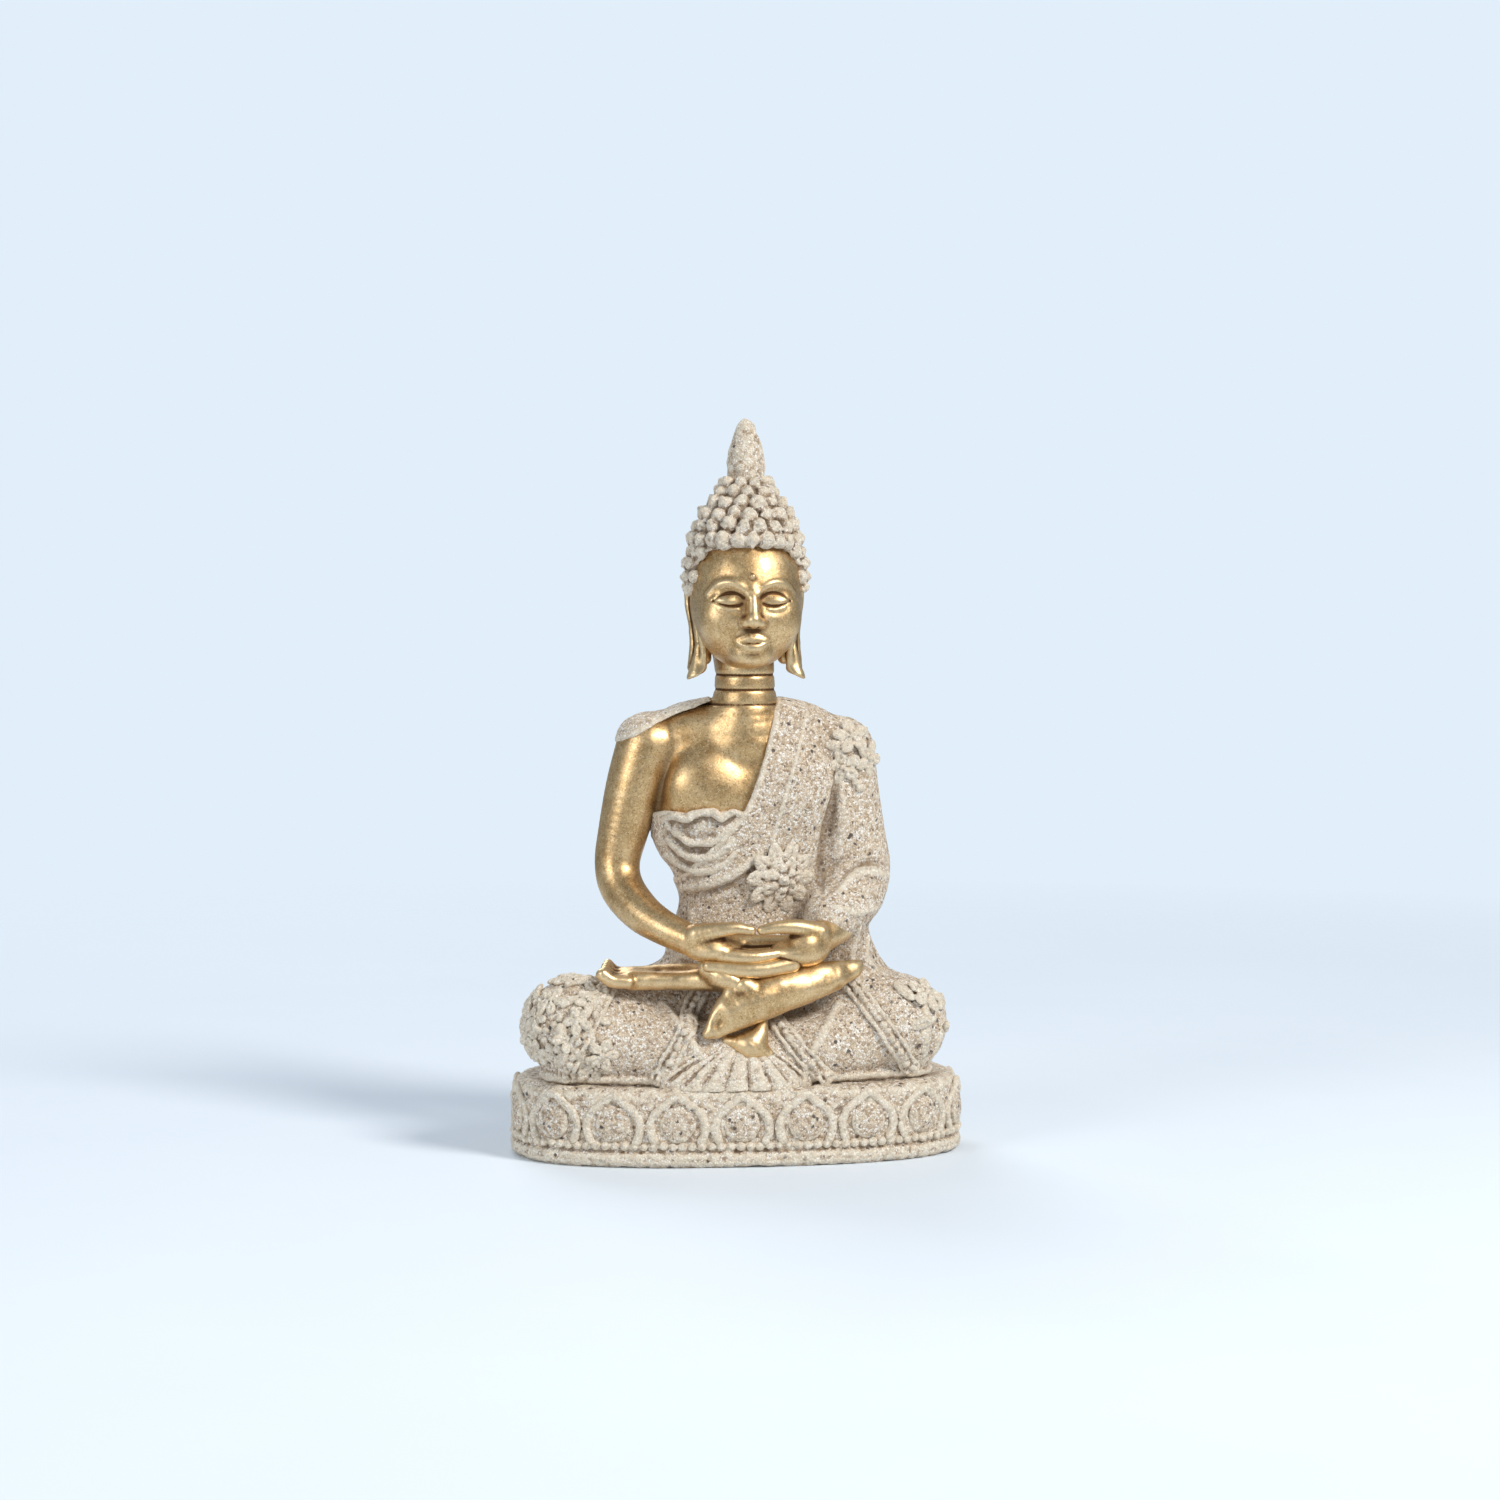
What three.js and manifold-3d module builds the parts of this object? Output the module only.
// A seated Buddha statuette on an oval lotus plinth, as separately moulded castings that key together
// with spigots and sockets. Millimetres, +Z up, the figure faces -Y, and the origin is the middle of the
// plinth's underside. "Right" and "left" are the figure's own, so its right arm is on the -X side.
import * as THREE from "three";
import { mergeVertices } from "three/addons/utils/BufferGeometryUtils.js";
import Module from "manifold-3d";

const wasm = await Module();
wasm.setup();

// ---------------------------------------------------------------- driving dimensions
const HEIGHT = 110;
const PLINTH_HALF_WIDTH = 34.3;
const PLINTH_HALF_DEPTH = 18.5;
const PLINTH_HEIGHT = 11.5;
const OVAL_POWER = 2.5; // 2 is an ellipse, more is squarer
const PETALS = 18;
const GAP = 0.3; // glue line between two castings
const BODY_X = 1.2; // the trunk leans this far to the figure's left
const HEAD_Y = -2.8; // the head is carried forward of the trunk
const SHOULDER_Z = 60;
const ELBOW_Z = 42;
const HAND_Z = 31.5;
const LAP_Z = 19.5; // height of the thighs' axis
const HAIRLINE_Z = 91;
const CURLS_TOP_Z = 101.5; // top of the cone of curls, under the flame
const ROUND = 10; // sides of a limb's section
const SANDSTONE = { color: 0xcdb99c, roughness: 0.85, metalness: 0 };
const GOLD = { color: 0xb08d4f, roughness: 0.35, metalness: 0.9 };

// ---------------------------------------------------------------- solids
// A closed geometry as a solid: shared vertices merged, collapsed triangles dropped, faces outwards.
function solidOf(geometry) {
  const bare = geometry.index ? geometry.toNonIndexed() : geometry.clone();
  const onlyPlaces = new THREE.BufferGeometry().setAttribute("position", bare.getAttribute("position"));
  const merged = mergeVertices(onlyPlaces, 1e-4);
  const triangles = [];
  for (let i = 0; i < merged.index.count; i += 3) {
    const [a, b, c] = [0, 1, 2].map((k) => merged.index.getX(i + k));
    if (a !== b && b !== c && a !== c) triangles.push(a, b, c);
  }
  const build = (list) =>
    new wasm.Manifold(
      new wasm.Mesh({
        numProp: 3,
        vertProperties: new Float32Array(merged.attributes.position.array),
        triVerts: new Uint32Array(list),
      }),
    );
  const made = build(triangles);
  return made.volume() > 0 ? made : build(triangles.reverse());
}

function geometryOf(solid) {
  const mesh = solid.getMesh();
  const places = new Float32Array(mesh.numVert * 3);
  for (let i = 0; i < mesh.numVert; i++) {
    places.set(mesh.vertProperties.subarray(i * mesh.numProp, i * mesh.numProp + 3), i * 3);
  }
  const geometry = new THREE.BufferGeometry();
  geometry.setAttribute("position", new THREE.BufferAttribute(places, 3));
  geometry.setIndex(new THREE.BufferAttribute(new Uint32Array(mesh.triVerts), 1));
  geometry.computeVertexNormals();
  return geometry;
}

const join = (...solids) => solids.reduce((all, next) => all.add(next));
const largest = (solid) => solid.decompose().sort((a, b) => b.volume() - a.volume())[0];

function ellipsoid([x, y, z], [rx, ry, rz], grow = 0, around = 16, down = 10) {
  const ball = new THREE.SphereGeometry(1, around, down).rotateX(Math.PI / 2);
  ball.scale(rx + grow, ry + grow, rz + grow).translate(x, y, z);
  return solidOf(ball);
}

function block(low, high) {
  const size = high.map((h, k) => h - low[k]);
  const box = new THREE.BoxGeometry(...size);
  return solidOf(box.translate(...low.map((l, k) => l + size[k] / 2)));
}

// A lathe turned about the vertical line through [x, y]: points are [radius, height] from axis to axis.
function turned([x, y], points, sides = 18) {
  const profile = points.map(([r, z]) => new THREE.Vector2(r, z));
  return solidOf(new THREE.LatheGeometry(profile, sides).rotateX(Math.PI / 2).translate(x, y, 0));
}

// A body swept along a curve through stations [x, y, z, half width, half height], with round ends.
// The half height is measured towards `up`, the half width across it.
function limb(stations, grow = 0, up = [0, 0, 1], sides = ROUND) {
  const STEPS_PER_STATION = 2;
  const CAP_STEPS = 2;
  const path = new THREE.CatmullRomCurve3(stations.map(([x, y, z]) => new THREE.Vector3(x, y, z)));
  const steps = (stations.length - 1) * STEPS_PER_STATION;
  const rings = [];
  const ringAt = (t, past, shrink) => {
    const place = Math.min(t * (stations.length - 1), stations.length - 1 - 1e-9);
    const [a, b] = [stations[Math.floor(place)], stations[Math.floor(place) + 1]];
    const mix = place - Math.floor(place);
    const half = [3, 4].map((k) => a[k] + (b[k] - a[k]) * mix + grow);
    const along = path.getTangent(t);
    const side = new THREE.Vector3().crossVectors(along, new THREE.Vector3(...up)).normalize();
    const rise = new THREE.Vector3().crossVectors(side, along).normalize();
    const centre = path.getPoint(t).addScaledVector(along, past * Math.min(...half));
    const ring = [];
    for (let i = 0; i < sides; i++) {
      const angle = (2 * Math.PI * i) / sides;
      const point = centre.clone().addScaledVector(side, shrink * half[0] * Math.cos(angle));
      ring.push(point.addScaledVector(rise, shrink * half[1] * Math.sin(angle)));
    }
    rings.push(ring);
  };
  for (let i = 0; i < CAP_STEPS; i++) {
    const turn = (Math.PI / 2) * (1 - (i + 0.35) / CAP_STEPS);
    ringAt(0, -Math.sin(turn), Math.cos(turn));
  }
  for (let i = 0; i <= steps; i++) ringAt(i / steps, 0, 1);
  for (let i = CAP_STEPS - 1; i >= 0; i--) {
    const turn = (Math.PI / 2) * (1 - (i + 0.35) / CAP_STEPS);
    ringAt(1, Math.sin(turn), Math.cos(turn));
  }
  return lofted(rings);
}

// A closed skin over rings of equal count, with a flat fan at each end.
function lofted(rings) {
  const count = rings[0].length;
  const points = rings.flat();
  const middleOf = (ring) => ring.reduce((sum, p) => sum.add(p), new THREE.Vector3()).divideScalar(count);
  const first = points.push(middleOf(rings[0])) - 1;
  const last = points.push(middleOf(rings[rings.length - 1])) - 1;
  const triangles = [];
  for (let i = 0; i < count; i++) {
    const next = (i + 1) % count;
    triangles.push(first, next, i);
    for (let r = 0; r + 1 < rings.length; r++) {
      const [low, high] = [r * count, (r + 1) * count];
      triangles.push(low + i, low + next, high + next, low + i, high + next, high + i);
    }
    const top = (rings.length - 1) * count;
    triangles.push(last, top + i, top + next);
  }
  const geometry = new THREE.BufferGeometry().setFromPoints(points).setIndex(triangles);
  return solidOf(geometry);
}

// A prism whose outline is drawn in the front view, [x, z], running from y0 to y1.
function frontPrism(outline, y0, y1) {
  const shape = new THREE.Shape(outline.map(([x, z]) => new THREE.Vector2(x, z)));
  const slab = new THREE.ExtrudeGeometry(shape, { depth: y1 - y0, bevelEnabled: false });
  return solidOf(slab.rotateX(Math.PI / 2).translate(0, y1, 0));
}

const mirrored = (stations, side) => stations.map(([x, ...rest]) => [x * side, ...rest]);

// ---------------------------------------------------------------- plinth
// A point on the oval at an angle, and the oval as a shape, both inset from the plinth's full outline.
function ovalPoint(angle, inset = 0) {
  const bend = (value) => Math.sign(value) * Math.abs(value) ** (2 / OVAL_POWER);
  const x = (PLINTH_HALF_WIDTH - inset) * bend(Math.cos(angle));
  const y = (PLINTH_HALF_DEPTH - inset) * bend(Math.sin(angle));
  return new THREE.Vector2(x, y);
}

function ovalSlab(inset, z0, z1, bevel = 0, sides = 44) {
  const shape = new THREE.Shape();
  for (let i = 0; i < sides; i++) {
    const p = ovalPoint((2 * Math.PI * i) / sides, inset + bevel);
    if (i) shape.lineTo(p.x, p.y);
    else shape.moveTo(p.x, p.y);
  }
  const bevelled = { bevelEnabled: bevel > 0, bevelSize: bevel, bevelThickness: bevel, bevelSegments: 1 };
  const slab = new THREE.ExtrudeGeometry(shape, { depth: z1 - z0 - 2 * bevel, ...bevelled });
  return solidOf(slab.translate(0, 0, z0 + bevel));
}

const CORE_INSET = 1.9;
const BAND_INSET = 0.55; // the petals' tips stand on the full outline
const RIM_TOP = 2.2;
const BEADS_TOP = 3.9;

const ovalRing = (inset, z0, z1, bevel) =>
  ovalSlab(inset, z0, z1, bevel).subtract(ovalSlab(CORE_INSET - GAP, z0 - 1, z1 + 1));

// The oval walked in steps of equal length, starting at the middle of the front.
function petalPlaces() {
  const FINE = 720;
  const track = [];
  for (let i = 0; i <= FINE; i++) track.push(ovalPoint(-Math.PI / 2 + (2 * Math.PI * i) / FINE));
  const lengths = [0];
  for (let i = 1; i <= FINE; i++) lengths.push(lengths[i - 1] + track[i].distanceTo(track[i - 1]));
  const pitch = lengths[FINE] / PETALS;
  return Array.from({ length: PETALS }, (_, n) => {
    const i = Math.max(1, lengths.findIndex((l) => l >= n * pitch));
    const along = track[(i % FINE) + 1].clone().sub(track[i - 1]);
    return { at: track[i - 1], heading: Math.atan2(along.y, along.x), pitch };
  });
}

function petalOutline(width, height) {
  const half = width / 2;
  const shape = new THREE.Shape();
  shape.moveTo(-half * 0.8, 0);
  shape.bezierCurveTo(-half * 1.1, height * 0.35, -half * 0.95, height * 0.7, 0, height);
  shape.bezierCurveTo(half * 0.95, height * 0.7, half * 1.1, height * 0.35, half * 0.8, 0);
  return shape;
}

function petalBand() {
  const PETAL_DEPTH = 1.1;
  const height = PLINTH_HEIGHT - BEADS_TOP - GAP - 1.1;
  let band = ovalRing(BAND_INSET, BEADS_TOP + GAP, PLINTH_HEIGHT, 0.4);
  for (const { at, heading, pitch } of petalPlaces()) {
    const outline = petalOutline(pitch * 0.9, height);
    const petal = new THREE.ExtrudeGeometry(outline, {
      depth: PETAL_DEPTH,
      bevelEnabled: false,
      curveSegments: 3,
    });
    petal.rotateX(Math.PI / 2).rotateZ(heading).translate(at.x, at.y, BEADS_TOP + GAP + 0.3);
    petal.translate(-Math.sin(heading) * PETAL_DEPTH, Math.cos(heading) * PETAL_DEPTH, 0);
    band = band.add(solidOf(petal));
  }
  return band.intersect(ovalSlab(0, 0, PLINTH_HEIGHT)).subtract(ovalSlab(CORE_INSET - GAP, 0, HEIGHT));
}

// ---------------------------------------------------------------- trunk, robe and wraps
const CHEST = [BODY_X, 0, 54];

function trunk(grow = 0) {
  return join(
    ellipsoid(CHEST, [12.6, 7.6, 11.5], grow),
    ellipsoid([BODY_X, 0.6, 60.5], [15.5, 6, 6.2], grow),
    ellipsoid([BODY_X, 0.8, 40], [9.6, 7.2, 15], grow),
    ellipsoid([BODY_X, 1.5, 29], [12, 8.5, 9], grow),
  );
}

const ROBE_THICK = 1.5;
const SHEET_MEETS_Y = 1.5; // plane where the front sheets meet the back sheet
// The robe's diagonal edge, from the left side of the neck down to the right side of the waist, [x, z].
const ROBE_EDGE = [
  [6.6, 70],
  [-0.4, 51.4],
  [-8, 39],
];

function robeSheet(outline, y0, y1, grow, thick = ROBE_THICK) {
  const mean = (k) => outline.reduce((sum, p) => sum + p[k], 0) / outline.length;
  const middle = [mean(0), mean(1)];
  const away = (value, from) => value + 1.5 * grow * Math.sign(value - from);
  const wider = outline.map(([x, z]) => [away(x, middle[0]), away(z, middle[1])]);
  const region = frontPrism(wider, y0 - grow, y1 + grow);
  return trunk(thick + grow).subtract(trunk(GAP - grow)).intersect(region);
}

function frontRobe(grow = 0) {
  const outline = [...ROBE_EDGE, [-16, 39], [-16, 24], [30, 24], [30, 70]];
  return robeSheet(outline, -30, SHEET_MEETS_Y, grow);
}

function chestWrap(grow = 0) {
  const [, elbowOfEdge, foot] = ROBE_EDGE;
  const outline = [
    [elbowOfEdge[0] - GAP, elbowOfEdge[1]],
    [-16, elbowOfEdge[1]],
    [-16, foot[1] + GAP],
    [foot[0] - GAP, foot[1] + GAP],
  ];
  return robeSheet(outline, -30, SHEET_MEETS_Y, grow, ROBE_THICK * 0.8);
}

function backRobe(grow = 0) {
  const outline = [[-25, 24], [30, 24], [30, 70], [-25, 70]];
  return robeSheet(outline, SHEET_MEETS_Y + GAP, 30, grow);
}

// ---------------------------------------------------------------- arms, hands, legs and feet
const RIGHT_SHOULDER = [-13.2, 0.6, SHOULDER_Z];
const RIGHT_ELBOW = [-17.8, 0.6, ELBOW_Z];
const RIGHT_WRIST = [-8.2, -10.8, HAND_Z + 1];
const LEFT_SHOULDER = [15.2, 0.6, SHOULDER_Z];
const LEFT_ELBOW = [18.4, 0.8, ELBOW_Z];
const LEFT_WRIST = [10, -10.6, HAND_Z + 2];

const between = (a, b, t) => a.map((v, k) => v + (b[k] - v) * t);
const upperArm = (shoulder, elbow, thick, bow, grow) => {
  const middle = between(shoulder, elbow, 0.55);
  middle[0] += bow;
  return limb(
    [
      [...shoulder, thick + 0.6, thick + 0.4],
      [...middle, thick - 0.4, thick - 0.4],
      [...elbow, thick - 0.9, thick - 0.9],
    ],
    grow,
    [0, 1, 0],
  );
};
const lowerArm = (elbow, wrist, thick, end, grow) => {
  const middle = between(elbow, wrist, 0.5);
  middle[2] -= 1.6;
  return limb([[...elbow, thick, thick], [...middle, thick * 0.9, thick * 0.9], [...wrist, end, end]], grow);
};

function hand(wrist, palm, tips, thumb, grow) {
  return join(
    limb([[...wrist, 2.2, 2], [...palm, 3.1, 1.5], [...tips, 2.3, 1.1]], grow),
    limb([[...wrist, 1.2, 1.2], [...thumb, 0.9, 0.9]], grow),
  );
}

const aboveThePlinth = (solid, grow) =>
  solid.subtract(block([-50, -50, -10], [50, 50, PLINTH_HEIGHT + GAP - grow]));

// One side's thigh and folded shin under the robe, cut off flat just above the plinth.
function leg(side, grow) {
  const thigh = [
    [7, 5, LAP_Z + 0.5, 8, 7],
    [17, -1.5, LAP_Z, 8.6, 7.2],
    [24.3, -4.8, LAP_Z + 0.4, 8, 7.2],
  ];
  const shin = [
    [25, -5.5, LAP_Z - 2, 6.4, 5],
    [13, -9.2, LAP_Z - 3.4, 5, 5],
    [2.2, -9.6, LAP_Z - 4, 4.2, 4.2],
  ];
  const both = join(limb(mirrored(thigh, side), grow), limb(mirrored(shin, side), grow));
  return aboveThePlinth(both, grow);
}

function skirtCore(grow) {
  const body = ellipsoid([0, 4, LAP_Z], [25, 11.5, 8.4], grow);
  return aboveThePlinth(body, grow);
}

// The pleated fan of cloth on the plinth, in front of the crossed shins.
function fan(grow = 0) {
  const PLEATS = 9;
  const CENTRE = [0.3, 17.6];
  const outline = [];
  for (let i = 0; i <= PLEATS * 2; i++) {
    const angle = Math.PI * (0.13 + (0.74 * i) / (PLEATS * 2)) + Math.PI;
    const reach = i % 2 ? 0.93 : 1;
    outline.push([CENTRE[0] + 11 * reach * Math.cos(angle), CENTRE[1] + 5.5 * reach * Math.sin(angle)]);
  }
  outline.push([CENTRE[0] + 1.6, CENTRE[1]], [CENTRE[0] - 1.6, CENTRE[1]]);
  return aboveThePlinth(frontPrism(outline, -16.2 - grow, -12.5 + grow), grow);
}

// ---------------------------------------------------------------- ornaments
// A strip of border that lies over a leg, from its top to the plinth.
const border = (top, middle, foot) => (grow) =>
  aboveThePlinth(
    limb([[...top, 1, 0.8], [...middle, 1.1, 0.8], [...foot, 1, 0.8]], grow, [0, -1, 0.3], 8),
    grow,
  );

// A flower with a domed eye, its face turned towards `facing`.
function flower([x, y, z], facing, radius, petals, thick = 1.6) {
  const shape = new THREE.Shape();
  const POINTS_PER_PETAL = 4;
  for (let i = 0; i < petals * POINTS_PER_PETAL; i++) {
    const angle = (2 * Math.PI * i) / (petals * POINTS_PER_PETAL);
    const reach = radius * (0.68 + 0.32 * Math.abs(Math.cos((petals * angle) / 2)));
    const [px, py] = [reach * Math.cos(angle), reach * Math.sin(angle)];
    if (i) shape.lineTo(px, py);
    else shape.moveTo(px, py);
  }
  const turn = new THREE.Quaternion().setFromUnitVectors(
    new THREE.Vector3(0, 0, 1),
    new THREE.Vector3(...facing).normalize(),
  );
  const disc = new THREE.ExtrudeGeometry(shape, { depth: thick, bevelEnabled: false });
  disc.translate(0, 0, -thick / 2).applyQuaternion(turn).translate(x, y, z);
  const eye = new THREE.SphereGeometry(radius * 0.34, 8, 6).scale(1, 1, 0.8);
  eye.translate(0, 0, thick / 2).applyQuaternion(turn).translate(x, y, z);
  return join(solidOf(disc), solidOf(eye));
}

// ---------------------------------------------------------------- neck and head
const FACE_HALF_WIDTH = 8.1;
const HEAD_CENTRE = [BODY_X, HEAD_Y, 82.5];
const NECK_Y = HEAD_Y + 1.8;
const HAIR_Y = HEAD_Y + 0.6;

// A column with three creases, flaring where it meets the shoulders.
function neck(grow = 0) {
  const CREASES = 3;
  const bottom = 61.5;
  const top = 74.5;
  const profile = [
    [0, bottom - grow],
    [5.2 + grow, bottom - grow],
    [6.6 + grow, 64.8],
    [5.1 + grow, 66.6],
  ];
  for (let i = 0; i < CREASES; i++) {
    const z = 67.3 + i * 2.2;
    profile.push([4.4 + grow, z], [4.8 + grow, z + 1.1]);
  }
  profile.push([4.4 + grow, top + grow], [0, top + grow]);
  return turned([BODY_X, NECK_Y], profile, 16);
}

function head(grow = 0) {
  const skull = ellipsoid(HEAD_CENTRE, [FACE_HALF_WIDTH + 0.5, 8.8, 10.5], grow, 18, 12);
  const jaw = ellipsoid([BODY_X, HEAD_Y - 1.6, 78.6], [FACE_HALF_WIDTH - 1.2, 6.6, 6.6], grow);
  const nose = limb(
    [
      [BODY_X, HEAD_Y - 8, 84.6, 0.7, 0.8],
      [BODY_X, HEAD_Y - 8.8, 80.6, 1.1, 1.1],
    ],
    grow,
    [0, -1, 0],
    8,
  );
  return join(skull, jaw, nose);
}

function ear(side, grow = 0) {
  return limb(
    [
      [BODY_X + side * 9, HEAD_Y + 1.2, 85.5, 0.9, 1.7],
      [BODY_X + side * 8.7, HEAD_Y + 0.9, 80, 0.9, 1.5],
      [BODY_X + side * 7.8, HEAD_Y + 0.6, 74.2, 1.1, 1.3],
    ],
    grow,
    [0, 1, 0],
    10,
  );
}

// The cap of curls, open in front for the face.
function hairCap(grow = 0) {
  const brow = ellipsoid([BODY_X, HAIR_Y, 87], [10, 9.8, 8.4], grow);
  const nape = ellipsoid([BODY_X, HAIR_Y, 83], [9.6, 9.4, 9], grow);
  const face = ellipsoid([BODY_X, HEAD_Y - 11, 80.5], [9.4, 10.2, HAIRLINE_Z - 80.5], -grow);
  const underBrow = block([-30, -30, 60], [30, HEAD_Y + 3 - grow, 78 - grow]);
  const underNape = block([-30, -30, 60], [30, 30, 75.5 - grow]);
  return join(brow, nape).subtract(face).subtract(underBrow).subtract(underNape);
}

// The rows of curls above the brow, drawing in to a rounded top.
function curlCone(grow = 0) {
  const BOTTOM = 91.6;
  const rows = [
    [9, 8.4],
    [7.9, 7.1],
    [6.7, 6.1],
    [5.8, 4.9],
  ];
  const rise = (CURLS_TOP_Z - 1.4 - BOTTOM) / rows.length;
  const profile = [
    [0, BOTTOM - 1.5 - grow],
    [8.8 + grow, BOTTOM - 1.5 - grow],
  ];
  rows.forEach(([low, high], i) => {
    profile.push([low + grow, BOTTOM + i * rise], [high + grow, BOTTOM + (i + 0.8) * rise]);
  });
  profile.push([3.9 + grow, CURLS_TOP_Z - 0.9], [2.9 + grow, CURLS_TOP_Z + grow], [0, CURLS_TOP_Z + grow]);
  return turned([BODY_X, HAIR_Y], profile, 18);
}

// The pointed flame on the crown of the head.
function flame(grow = 0) {
  const bottom = CURLS_TOP_Z + GAP;
  const tall = HEIGHT - bottom;
  const swell = [
    [0, 2.4],
    [0.2, 2.9],
    [0.4, 2.75],
    [0.6, 2.25],
    [0.8, 1.55],
    [0.94, 0.8],
  ];
  const profile = swell.map(([share, radius]) => [radius + grow, bottom + share * tall]);
  return turned([BODY_X, HAIR_Y], [[0, bottom], ...profile, [0, HEIGHT]], 14);
}

// ---------------------------------------------------------------- the castings
// In order: each piece is cut back by the ones above it, which keep their whole shape.
const rightHand = (grow) =>
  hand(RIGHT_WRIST, [-3, -13, HAND_Z], [5, -13.2, HAND_Z - 0.3], [0.8, -13.2, HAND_Z + 2.6], grow);

const leftHand = (grow) =>
  hand(LEFT_WRIST, [5.4, -12.6, HAND_Z - 2.2], [-3, -13.4, HAND_Z - 3.6], [2.2, -12.6, HAND_Z + 2.4], grow);

const leftShin = (grow) =>
  limb(
    [
      [15, -10, LAP_Z + 8, 2.6, 2.4],
      [5, -12.6, LAP_Z + 5, 3, 2.8],
      [-4.6, -13.2, LAP_Z + 1, 2.4, 2.2],
    ],
    grow,
  );

const rightFoot = (grow) =>
  limb(
    [
      [3, -8, LAP_Z + 3.4, 2.2, 2],
      [-2, -12.8, LAP_Z - 1.4, 3, 2.2],
    ],
    grow,
  );

const leftFoot = (grow) =>
  limb(
    [
      [-5, -8.6, LAP_Z + 7.6, 2.4, 2],
      [-13, -7.6, LAP_Z + 8, 2.8, 1.7],
      [-19.6, -7, LAP_Z + 8, 2.6, 1.5],
    ],
    grow,
  );

const BORDER_FOOT = PLINTH_HEIGHT + 0.5; // where a border meets the plinth
const rightKneeBorder = border([-19, -8, LAP_Z + 7], [-24.5, -12, LAP_Z], [-27, -10, BORDER_FOOT]);
const rightShinBorder = border(
  [-6.6, -11.4, LAP_Z + 4],
  [-11, -14.6, LAP_Z - 2],
  [-14.6, -13.6, BORDER_FOOT],
);
const leftShinBorder = border([4, -13.2, LAP_Z + 1.4], [8, -14.9, LAP_Z - 3], [11.6, -13.9, BORDER_FOOT]);
const leftKneeBorder = border([16.6, -10.4, LAP_Z + 6], [21.6, -13, LAP_Z], [24.6, -11, BORDER_FOOT]);

const waistFlower = () => flower([7.2, -8.2, 41.6], [0.25, -1, 0], 5.4, 8);
const shoulderFlower = () => flower([19.4, -4.6, 58], [0.7, -1, 0.3], 4.6, 6);
const kneeFlower = (side) => () =>
  flower([side * 28, -10.6, LAP_Z + 2.4], [side * 0.8, -1, 0.3], 4.2, 6);

const castings = [
  ["plinth_core", SANDSTONE, () => ovalSlab(CORE_INSET, 0, PLINTH_HEIGHT)],
  ["plinth_foot_rim", SANDSTONE, () => ovalRing(0.5, 0, RIM_TOP, 0.4)],
  ["plinth_bead_moulding", SANDSTONE, () => ovalRing(0.25, RIM_TOP + GAP, BEADS_TOP, 0.5)],
  ["plinth_lotus_petals", SANDSTONE, petalBand],
  ["right_hand", GOLD, rightHand],
  ["left_hand", GOLD, leftHand],
  ["trunk", GOLD, trunk],
  ["neck", GOLD, neck],
  ["head", GOLD, head],
  ["right_ear", GOLD, (grow) => ear(-1, grow)],
  ["left_ear", GOLD, (grow) => ear(1, grow)],
  ["curl_cone", SANDSTONE, curlCone],
  ["hair_cap", SANDSTONE, hairCap],
  ["topknot_flame", SANDSTONE, flame],
  ["right_upper_arm", GOLD, (grow) => upperArm(RIGHT_SHOULDER, RIGHT_ELBOW, 4.3, -0.4, grow)],
  ["right_forearm", GOLD, (grow) => lowerArm(RIGHT_ELBOW, RIGHT_WRIST, 3.3, 2.3, grow)],
  ["left_sleeve_upper", SANDSTONE, (grow) => upperArm(LEFT_SHOULDER, LEFT_ELBOW, 5.6, 0.3, grow)],
  ["left_sleeve_lower", SANDSTONE, (grow) => lowerArm(LEFT_ELBOW, LEFT_WRIST, 4.6, 3.4, grow)],
  ["left_shin", GOLD, leftShin],
  ["right_foot", GOLD, rightFoot],
  ["left_foot", GOLD, leftFoot],
  ["robe_front", SANDSTONE, frontRobe],
  ["chest_wrap", SANDSTONE, chestWrap],
  ["robe_back", SANDSTONE, backRobe],
  ["skirt_core", SANDSTONE, skirtCore],
  ["right_leg_drape", SANDSTONE, (grow) => leg(-1, grow)],
  ["left_leg_drape", SANDSTONE, (grow) => leg(1, grow)],
  ["pleated_fan", SANDSTONE, fan],
  ["right_knee_border", SANDSTONE, rightKneeBorder],
  ["right_shin_border", SANDSTONE, rightShinBorder],
  ["left_shin_border", SANDSTONE, leftShinBorder],
  ["left_knee_border", SANDSTONE, leftKneeBorder],
  ["waist_flower", SANDSTONE, waistFlower],
  ["shoulder_flower", SANDSTONE, shoulderFlower],
  ["right_knee_flower", SANDSTONE, kneeFlower(-1)],
  ["left_knee_flower", SANDSTONE, kneeFlower(1)],
];

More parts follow.
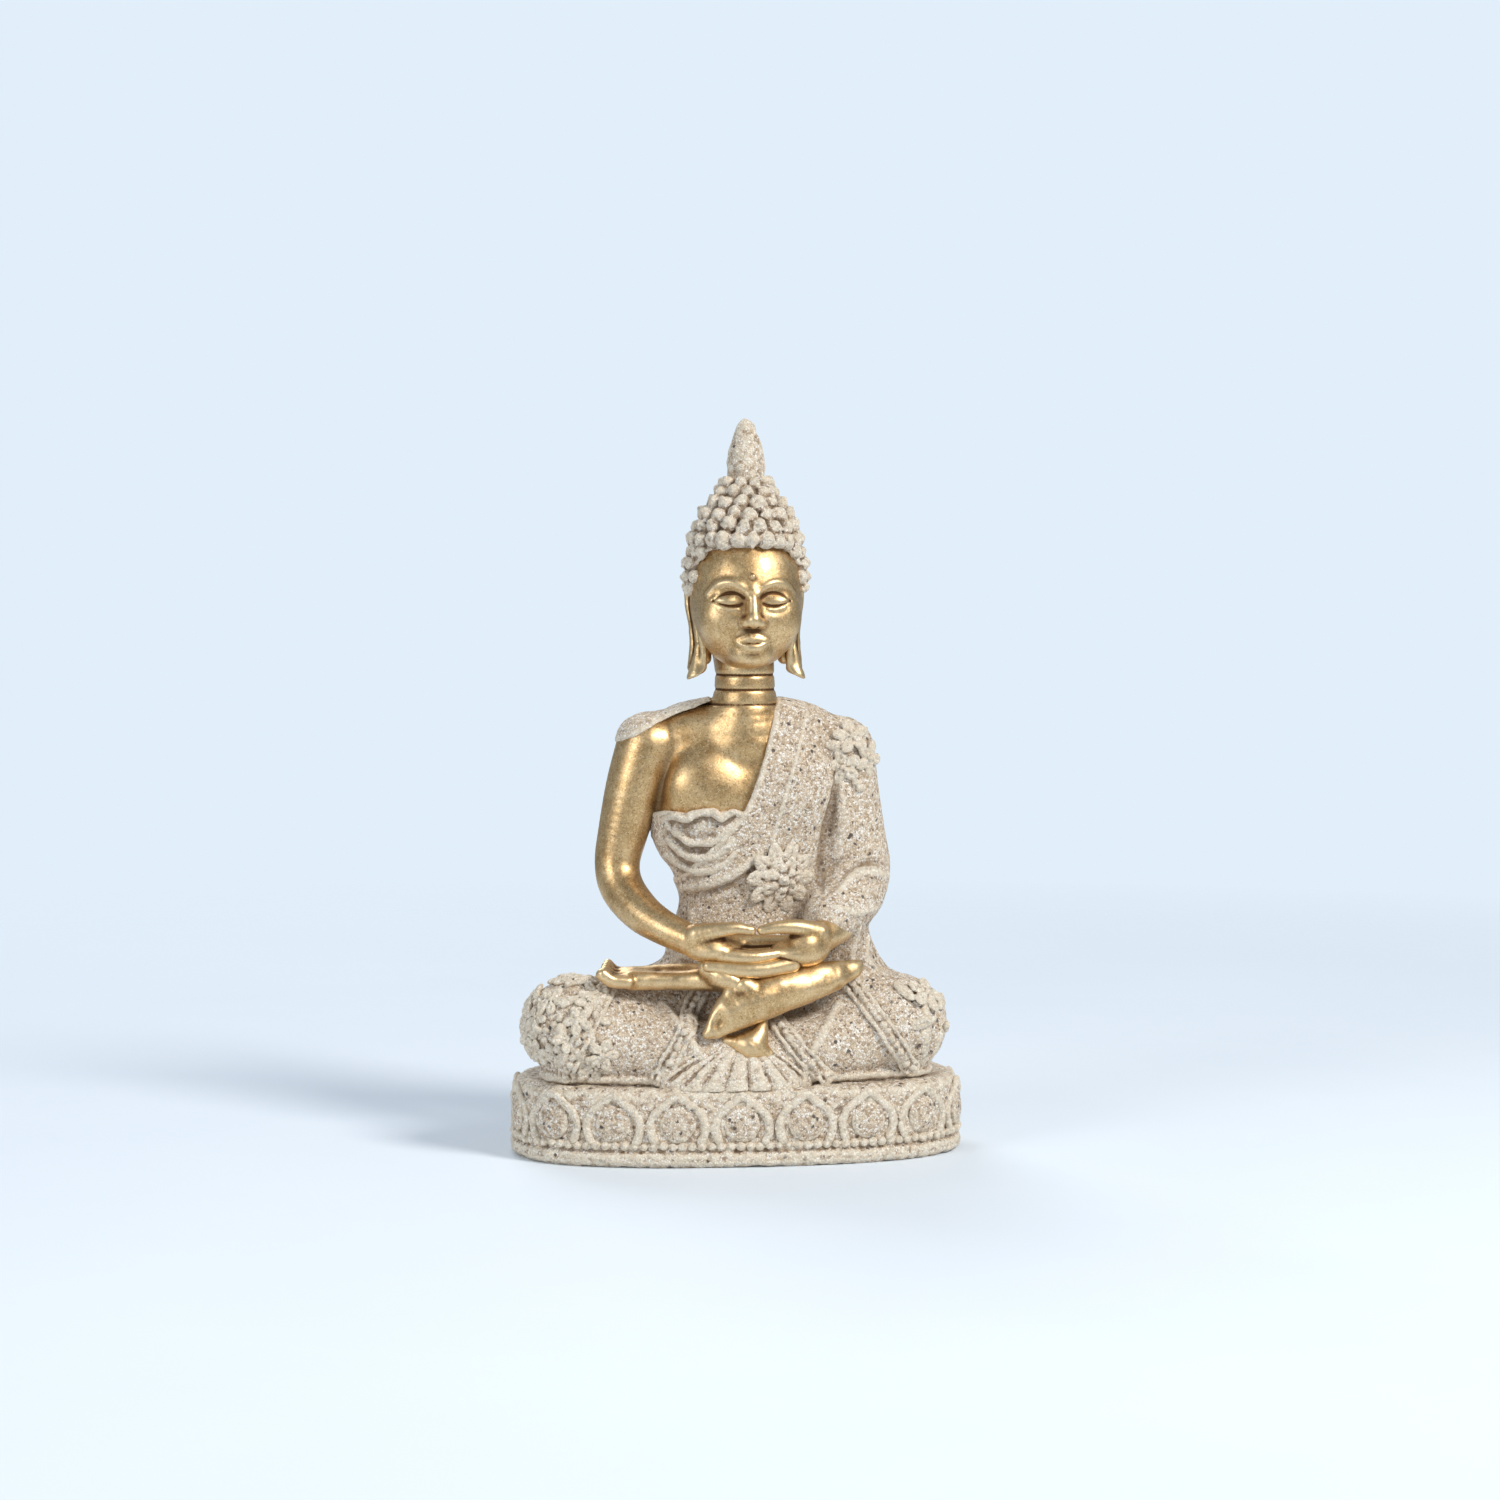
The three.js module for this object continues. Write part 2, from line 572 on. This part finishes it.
// Spigots: a round peg of the owner that enters a socket of the other casting.
const upright = (x, y, high, low) => ({ from: [x, y, high], to: [x, y, low] });
const level = (outer, inner) => ({ from: [outer, 0.6, SHOULDER_Z], to: [inner, 0.6, SHOULDER_Z] });
const spigots = [
  { owner: "skirt_core", into: "plinth_core", r: 2, ...upright(-14, 4, 14, 8.5) },
  { owner: "skirt_core", into: "plinth_core", r: 2, ...upright(14, 4, 14, 8.5) },
  { owner: "trunk", into: "skirt_core", r: 4, ...upright(BODY_X, 3, 24, 16.5) },
  { owner: "neck", into: "trunk", r: 2.2, ...upright(BODY_X, NECK_Y, 69, 58) },
  { owner: "neck", into: "head", r: 2.6, ...upright(BODY_X, NECK_Y, 73, 79) },
  { owner: "topknot_flame", into: "curl_cone", r: 1.3, ...upright(BODY_X, HAIR_Y, 103, 98) },
  { owner: "right_upper_arm", into: "trunk", r: 1.6, ...level(-16.8, -7) },
  { owner: "left_sleeve_upper", into: "trunk", r: 1.6, ...level(19.5, 9.6) },
];

function peg({ from, to, r }, grow = 0) {
  const [a, b] = [new THREE.Vector3(...from), new THREE.Vector3(...to)];
  const along = b.clone().sub(a);
  const bar = new THREE.CylinderGeometry(r + grow, r + grow, along.length() + 2 * grow, 12);
  const turn = new THREE.Quaternion().setFromUnitVectors(new THREE.Vector3(0, 1, 0), along.normalize());
  return solidOf(bar.applyQuaternion(turn).translate(...a.add(b).multiplyScalar(0.5).toArray()));
}

const sharesBox = (a, b) => {
  const [p, q] = [a.boundingBox(), b.boundingBox()];
  return [0, 1, 2].every((k) => p.min[k] < q.max[k] && q.min[k] < p.max[k]);
};

function cutCastings() {
  const done = new Map();
  const grown = [];
  for (const [name, , shape] of castings) {
    let solid = shape(0);
    for (const other of grown) if (sharesBox(solid, other)) solid = solid.subtract(other);
    done.set(name, largest(solid));
    grown.push(shape(GAP));
  }
  for (const spigot of spigots) {
    done.set(spigot.into, done.get(spigot.into).subtract(peg(spigot, GAP)));
    done.set(spigot.owner, done.get(spigot.owner).add(peg(spigot)));
  }
  return done;
}

const statuette = new THREE.Group();
const solids = cutCastings();
for (const [name, finish] of castings) {
  const mesh = new THREE.Mesh(geometryOf(solids.get(name)), new THREE.MeshStandardMaterial(finish));
  mesh.name = name;
  statuette.add(mesh);
}

export default statuette;
